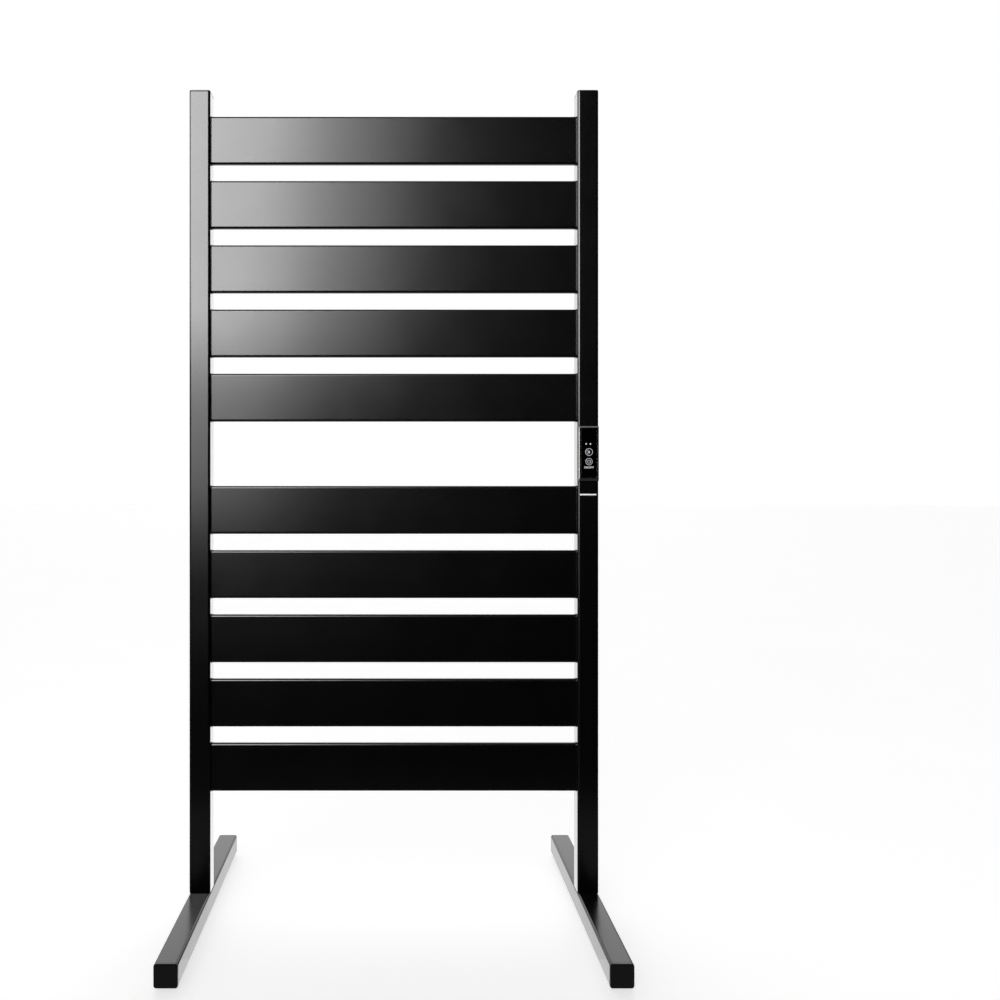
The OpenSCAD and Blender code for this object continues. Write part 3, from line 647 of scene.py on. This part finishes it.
# timer key: ring, clock hands
z, lo, hi = KEYS["timer"]
y1 = lo.y + 0.00010
y0 = lo.y - INK
parts = [ring_mark(0.00460, 0.00402, lo.y - INK, lo.y + 0.00012, POST_X, z)]
hand = [(-0.00070, -0.0015), (0.00070, -0.0015), (0.00100, -0.0003), (0.00085, 0.0008), (0.00035, 0.0018), (-0.00035, 0.0018),
        (-0.00085, 0.0008), (-0.00100, -0.0003)]
parts.append(prism("c", hand, lo.y - INK, lo.y + 0.00016, along_y(POST_X, z)))
parts.append(arc_mark(0.0027, 0.00032, 105, 255, lo.y - INK, lo.y + 0.00016, POST_X, z))
done(join("timer_key_mark", parts), PRINT_WITH_PAINTED_GLOW, "timer_button")
# power key: ring, power symbol
z, lo, hi = KEYS["power"]
parts = [ring_mark(0.00430, 0.00375, lo.y - INK, lo.y + 0.00012, POST_X, z)]
parts.append(arc_mark(0.0020, 0.00060, 132, 408, lo.y - INK, lo.y + 0.00016, POST_X, z))
parts.append(prism("c", box_ring(0.00070, 0.0020, 0.0003, n=4), lo.y - INK, lo.y + 0.00016, along_y(POST_X, z + 0.0014)))
done(join("power_key_mark", parts), PRINT_WITH_PAINTED_GLOW, "power_button")

# ON / OFF under the keys
LABEL_Z = MID_Z + 0.0299
H, ST = 0.0026, 0.00050


def letter_o(x, w):
    p = along_y(x, LABEL_Z)
    return loft("c", rings_of([(box_ring(w, H, 0.0008, n=5), fa_lo.y - INK), (box_ring(w, H, 0.0008, n=5), fa_lo.y + 0.00002),
                               (box_ring(w - 2 * ST, H - 2 * ST, 0.0004, n=5), fa_lo.y + 0.00002),
                               (box_ring(w - 2 * ST, H - 2 * ST, 0.0004, n=5), fa_lo.y - INK)], p), loop=True)


def letter(points, x):
    return prism("c", points, fa_lo.y - INK, fa_lo.y + 0.00002, along_y(x, LABEL_Z))


def letter_n(x, w):
    a, b, h = -w / 2, w / 2, H / 2
    return letter([(a, -h), (a + ST, -h), (a + ST, h - 0.0013), (b - ST, -h), (b, -h), (b, h), (b - ST, h),
                   (b - ST, -h + 0.0013), (a + ST, h), (a, h)], x)


def letter_f(x, w):
    a, b, h = -w / 2, w / 2, H / 2
    return letter([(a, -h), (a + ST, -h), (a + ST, -ST * 0.6), (b - 0.0003, -ST * 0.6), (b - 0.0003, ST * 0.4), (a + ST, ST * 0.4),
                   (a + ST, h - ST), (b, h - ST), (b, h), (a, h)], x)


def slash(x, w):
    h = H / 2
    return letter([(-w / 2, -h), (-w / 2 + ST, -h), (w / 2, h), (w / 2 - ST, h)], x)


widths = [("O", 0.00185), ("N", 0.00185), ("/", 0.00125), ("O", 0.00185), ("F", 0.00155), ("F", 0.00155)]
gap = 0.00038
total = sum(w for _, w in widths) + gap * (len(widths) - 1)
x = POST_X - total / 2
parts = []
for ch, w in widths:
    cx = x + w / 2
    parts.append({"O": letter_o, "N": letter_n, "/": slash, "F": letter_f}[ch](cx, w))
    x += w + gap
done(join("on_off_label", parts), PRINT_WITH_PAINTED_GLOW, "rack")

# trim strip: a pillowed bar with a tongue through the post wall
put = along_y(POST_X, TRIM_Z)
W, Hh = tr_hi.x - tr_lo.x, tr_hi.z - tr_lo.z
yf, yb = tr_lo.y, FRONT_Y
sec = [(box_ring(W, Hh, 0.0005, 0.00075), yf + 0.00000), (box_ring(W, Hh, 0.0005, 0.00045), yf + 0.00006),
       (box_ring(W, Hh, 0.0005, 0.00018), yf + 0.00020), (box_ring(W, Hh, 0.0005, 0.00003), yf + 0.00038),
       (box_ring(W, Hh, 0.0005), yb),
       (box_ring(0.016, 0.0012, 0.0001), yb), (box_ring(0.016, 0.0012, 0.0001), tr_hi.y)]
TRIM = done(loft("trim_bar", rings_of(sec, put)), M["trim_metal"], "rack", ["trim_strip"])

# ---- carried-over CAD nodes: their own finishes --------------------------------------------------
for n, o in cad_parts.items():
    if o.hide_render:
        continue
    for s in o.material_slots:
        s.material = M[s.material.name.split(".")[0]]

# ---- floor ------------------------------------------------------------------------------------------
R = 40.0
n = 72
rings = [[(0.05 * math.cos(2 * math.pi * i / n), 0.05 * math.sin(2 * math.pi * i / n), 0.0) for i in range(n)]]
for rad in (0.2, 0.5, 1.0, 2.0, 4.0, 8.0, 18.0, R):
    rings.append([(rad * math.cos(2 * math.pi * i / n), rad * math.sin(2 * math.pi * i / n), 0.0) for i in range(n)])
verts = [p for r_ in rings for p in r_]
faces = [tuple(range(n))]
for i in range(len(rings) - 1):
    for j in range(n):
        k = (j + 1) % n
        faces.append((i * n + j, (i + 1) * n + j, (i + 1) * n + k, i * n + k))
floor = make("floor", verts, faces)
fm = surface("floor_white", (0.80, 0.80, 0.80), (0.83, 0.83, 0.83), (0.85, 0.95), tone_scale=2.0, grain_scale=60,
             grain=0.0, emission=(1.0, 1.0, 1.0), glow=0.70)
floor.data.materials.append(fm)
floor.visible_glossy = False
floor.visible_diffuse = False


# ---- lights ---------------------------------------------------------------------------------------------
def area(name, loc, aim, w, h, power, glossy=True, diffuse=True, spread=180):
    d = bpy.data.lights.new(name, "AREA")
    d.shape = "RECTANGLE"
    d.size = w
    d.size_y = h
    d.energy = power
    d.spread = math.radians(spread)
    o = bpy.data.objects.new(name, d)
    scene.collection.objects.link(o)
    o.location = loc
    o.rotation_euler = (Vector(aim) - Vector(loc)).to_track_quat("-Z", "Y").to_euler()
    o.visible_camera = False
    o.visible_glossy = glossy
    o.visible_diffuse = diffuse
    return o


def soft(name, loc, aim, w, h, radiance, **flags):
    """Panel light set by its brightness instead of its power."""
    return area(name, loc, aim, w, h, radiance * math.pi * w * h, **flags)


def only_for(light, *pieces):
    """The light falls on the given pieces alone."""
    c = bpy.data.collections.new(light.name + "_receivers")
    for p in pieces:
        c.objects.link(p)
    light.light_linking.receiver_collection = c


def not_on(light, *pieces):
    """The light leaves the given pieces out."""
    c = bpy.data.collections.new(light.name + "_left_out")
    for p in pieces:
        c.objects.link(p)
    for item in c.collection_objects:
        item.light_linking.link_state = "EXCLUDE"
    light.light_linking.receiver_collection = c


AIM = (0.0, 0.0, 0.7265)
# one large window-like source on the left: bright middle, weaker wings; the feet lie below it
not_on(soft("key", (-0.671, -2.0, 1.6205), AIM, 0.73, 1.274, 9.64, diffuse=False), *FEET)
not_on(soft("key_wide", (-0.51, -1.97, 1.6355), AIM, 1.07, 1.352, 3.46, diffuse=False), *FEET)
not_on(soft("key_low", (-0.806, -2.03, 0.8175), AIM, 0.792, 0.707, 3.66, diffuse=False), *FEET)
not_on(soft("key_left", (-1.42, -1.55, 1.62), AIM, 1.30, 1.274, 10.0, diffuse=False), *FEET)
not_on(soft("side", (-1.90, -0.10, 1.62), AIM, 1.45, 1.274, 3.0, diffuse=False), *FEET)
soft("fill", (-0.6, -2.4, 2.2), AIM, 1.6, 1.2, 1.0, glossy=False)
soft("floor_bounce", (0.0, -0.275, 0.004), (0.0, -0.275, 1.0), 1.2, 0.29, 0.17, diffuse=False)
# the same window seen lower down by the inner corner of the right post, and the brighter wall behind the left post
only_for(soft("corner_low", (-1.42, -1.55, 0.78), (0.2, 0.0, 0.55), 1.0, 0.75, 8.0, diffuse=False), RIGHT_POST)
only_for(soft("left_back", (0.15, 2.0, 0.53), (-0.22, 0.0, 0.53), 1.4, 3.2, 1.1, diffuse=False), LEFT_POST)
only_for(soft("right_back", (-0.15, 2.0, 0.53), (0.22, 0.0, 0.53), 1.4, 3.2, 0.75, diffuse=False), RIGHT_POST)
# small helpers for the module and the trim strip
only_for(soft("module_top", (0.24, -0.22, 1.70), (0.24, -0.01, 0.60), 0.8, 0.5, 2.8, diffuse=False), HOUSING)
only_for(soft("module_low", (0.24, -0.55, 0.02), (0.24, -0.01, 0.55), 0.8, 0.4, 0.45, diffuse=False), HOUSING)
only_for(soft("module_side", (-1.90, -0.22, 0.57), (0.22, 0.0, 0.57), 0.9, 0.8, 30.0, diffuse=False), HOUSING)
only_for(soft("trim_glow", (0.53, -1.60, 0.52), (0.24, -0.01, 0.52), 0.6, 0.6, 1.7), TRIM)

world = bpy.data.worlds.new("studio")
scene.world = world
world.use_nodes = True
nt = world.node_tree
nt.nodes.clear()
out = node(nt, "ShaderNodeOutputWorld", 600, 0)
mix = node(nt, "ShaderNodeMixShader", 400, 0)
white = node(nt, "ShaderNodeBackground", 100, -140)
white.inputs["Color"].default_value = (1, 1, 1, 1)
white.inputs["Strength"].default_value = 1.0
env = node(nt, "ShaderNodeBackground", 100, 60)
lp = node(nt, "ShaderNodeLightPath", 100, 300)
tc = node(nt, "ShaderNodeTexCoord", -700, 0)
sep = node(nt, "ShaderNodeSeparateXYZ", -520, 0)
mr = node(nt, "ShaderNodeMapRange", -300, 0)
mr.interpolation_type = "SMOOTHSTEP"
mr.inputs["From Min"].default_value = -0.25
mr.inputs["From Max"].default_value = 0.85
mr.inputs["To Min"].default_value = 0.009
mr.inputs["To Max"].default_value = 1.95
nt.links.new(tc.outputs["Generated"], sep.inputs["Vector"])
nt.links.new(sep.outputs["Y"], mr.inputs["Value"])
# the bright wall behind ends a little way out to either side
wall = mr.outputs["Result"]
for edge, far, low in ((0.24, 0.46, 0.12), (-0.24, -0.52, 0.35)):
    side = node(nt, "ShaderNodeMapRange", -300, 200 if edge > 0 else -260)
    side.interpolation_type = "SMOOTHSTEP"
    side.inputs["From Min"].default_value = edge
    side.inputs["From Max"].default_value = far
    side.inputs["To Min"].default_value = 1.0
    side.inputs["To Max"].default_value = low
    nt.links.new(sep.outputs["X"], side.inputs["Value"])
    both = node(nt, "ShaderNodeMath", -100, 120 if edge > 0 else -200)
    both.operation = "MULTIPLY"
    nt.links.new(wall, both.inputs[0])
    nt.links.new(side.outputs["Result"], both.inputs[1])
    wall = both.outputs["Value"]
nt.links.new(wall, env.inputs["Strength"])
nt.links.new(lp.outputs["Is Camera Ray"], mix.inputs["Fac"])
nt.links.new(env.outputs["Background"], mix.inputs[1])
nt.links.new(white.outputs["Background"], mix.inputs[2])
nt.links.new(mix.outputs["Shader"], out.inputs["Surface"])
